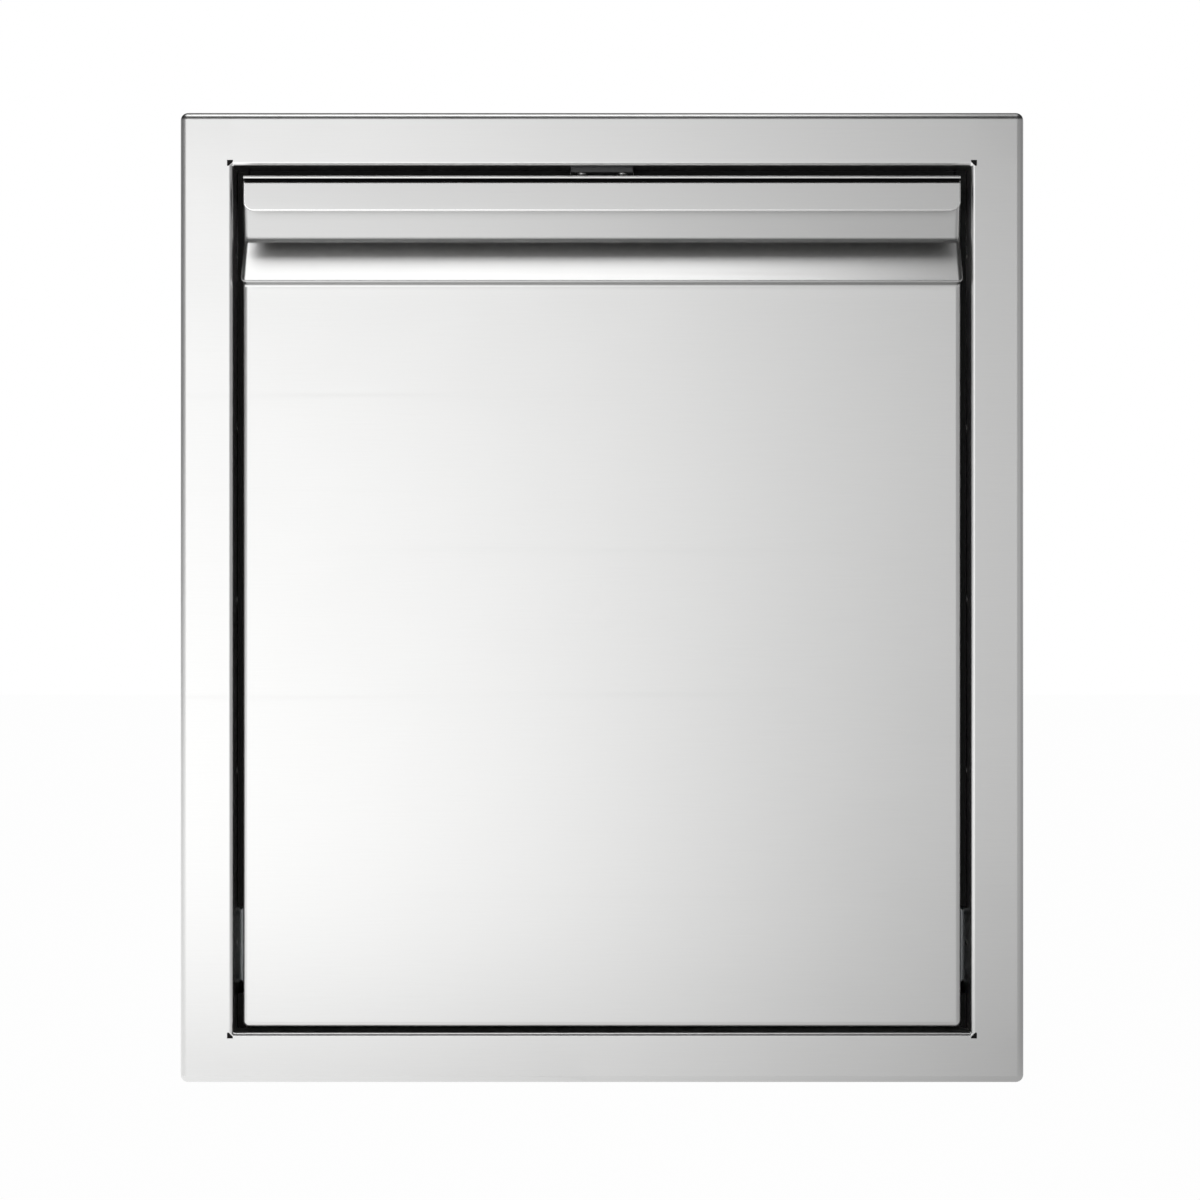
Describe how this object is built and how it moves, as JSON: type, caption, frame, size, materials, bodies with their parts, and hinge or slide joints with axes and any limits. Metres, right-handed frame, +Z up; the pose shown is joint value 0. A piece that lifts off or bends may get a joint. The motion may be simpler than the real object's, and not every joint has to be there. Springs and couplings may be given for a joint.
{
  "type": "pull-out access door",
  "caption": "Stainless pull-out access door for an outdoor kitchen island, with a full-width finger pull, a housing, ball slides and lift-out bins.",
  "frame": {"origin": "middle of the frame's lower rear fold, on the plane of the wall that the frame rests against", "axes": "+X to the right seen from the front, +Y back into the island, +Z up"},
  "size_m": [0.508, 0.579, 0.5842],
  "materials": {
    "face_steel": "brushed stainless steel, grain along the width, satin",
    "housing_steel": "mill-finish stainless sheet",
    "fastener_steel": "plain stainless steel",
    "slide_steel": "zinc-plated steel",
    "ball_steel": "polished steel",
    "catch_plastic": "grey moulded plastic",
    "magnet_ferrite": "dark sintered magnet",
    "buffer_rubber": "black rubber",
    "bin_plastic": "grey moulded plastic"
  },
  "bodies": {
    "housing": {"face_frame": "face_steel", "frame_rivets": "fastener_steel", "side_panel_left": "housing_steel", "side_panel_right": "housing_steel", "housing_rivets": "fastener_steel", "floor_panel": "housing_steel", "rear_panel": "housing_steel", "front_cross_bar": "housing_steel", "rear_cross_bar": "housing_steel", "catch_housing": "catch_plastic", "catch_magnet": "magnet_ferrite", "catch_pole_plates": "slide_steel", "catch_screws": "fastener_steel", "slide_outer_left": "slide_steel", "slide_outer_right": "slide_steel", "slide_outer_screws": "fastener_steel", "slide_buffers": "buffer_rubber", "dust_seals": "buffer_rubber"},
    "carriage": {"front_panel": "face_steel", "front_liner": "housing_steel", "front_stiffeners": "housing_steel", "strike_plate": "slide_steel", "strike_screws": "fastener_steel", "carrier_tray": "housing_steel", "front_bracket_left": "housing_steel", "front_bracket_right": "housing_steel", "front_screws": "fastener_steel", "rack_screws": "fastener_steel", "bin_rack": "housing_steel", "slide_inner_left": "slide_steel", "slide_inner_right": "slide_steel", "slide_inner_screws": "fastener_steel"},
    "middle_left": {"slide_middle_left": "slide_steel"},
    "middle_right": {"slide_middle_right": "slide_steel"},
    "outer_cage_left": {"outer_ball_cage_left": "slide_steel", "outer_balls_left": "ball_steel"},
    "outer_cage_right": {"outer_ball_cage_right": "slide_steel", "outer_balls_right": "ball_steel"},
    "inner_cage_left": {"inner_ball_cage_left": "slide_steel", "inner_balls_left": "ball_steel"},
    "inner_cage_right": {"inner_ball_cage_right": "slide_steel", "inner_balls_right": "ball_steel"},
    "front_bin": {"front_bin": "bin_plastic"},
    "rear_bin": {"rear_bin": "bin_plastic"}
  },
  "joints": [
    {"name": "drawer_pull", "type": "slide", "parent": "housing", "child": "carriage", "axis": [0, -1, 0], "range_m": [0, 0.53]},
    {"name": "middle_left_slide", "type": "slide", "parent": "housing", "child": "middle_left", "axis": [0, -1, 0], "range_m": [0, 0.265]},
    {"name": "outer_cage_left_slide", "type": "slide", "parent": "housing", "child": "outer_cage_left", "axis": [0, -1, 0], "range_m": [0, 0.1325]},
    {"name": "inner_cage_left_slide", "type": "slide", "parent": "housing", "child": "inner_cage_left", "axis": [0, -1, 0], "range_m": [0, 0.3975]},
    {"name": "middle_right_slide", "type": "slide", "parent": "housing", "child": "middle_right", "axis": [0, -1, 0], "range_m": [0, 0.265]},
    {"name": "outer_cage_right_slide", "type": "slide", "parent": "housing", "child": "outer_cage_right", "axis": [0, -1, 0], "range_m": [0, 0.1325]},
    {"name": "inner_cage_right_slide", "type": "slide", "parent": "housing", "child": "inner_cage_right", "axis": [0, -1, 0], "range_m": [0, 0.3975]},
    {"name": "front_bin_lift", "type": "slide", "parent": "carriage", "child": "front_bin", "axis": [0, 0, 1], "range_m": [0, 0.22]},
    {"name": "rear_bin_lift", "type": "slide", "parent": "carriage", "child": "rear_bin", "axis": [0, 0, 1], "range_m": [0, 0.22]}
  ],
  "couplings": [
    {"joint": "middle_left_slide", "follows": "drawer_pull", "ratio": 0.5},
    {"joint": "outer_cage_left_slide", "follows": "drawer_pull", "ratio": 0.25},
    {"joint": "inner_cage_left_slide", "follows": "drawer_pull", "ratio": 0.75},
    {"joint": "middle_right_slide", "follows": "drawer_pull", "ratio": 0.5},
    {"joint": "outer_cage_right_slide", "follows": "drawer_pull", "ratio": 0.25},
    {"joint": "inner_cage_right_slide", "follows": "drawer_pull", "ratio": 0.75}
  ]
}
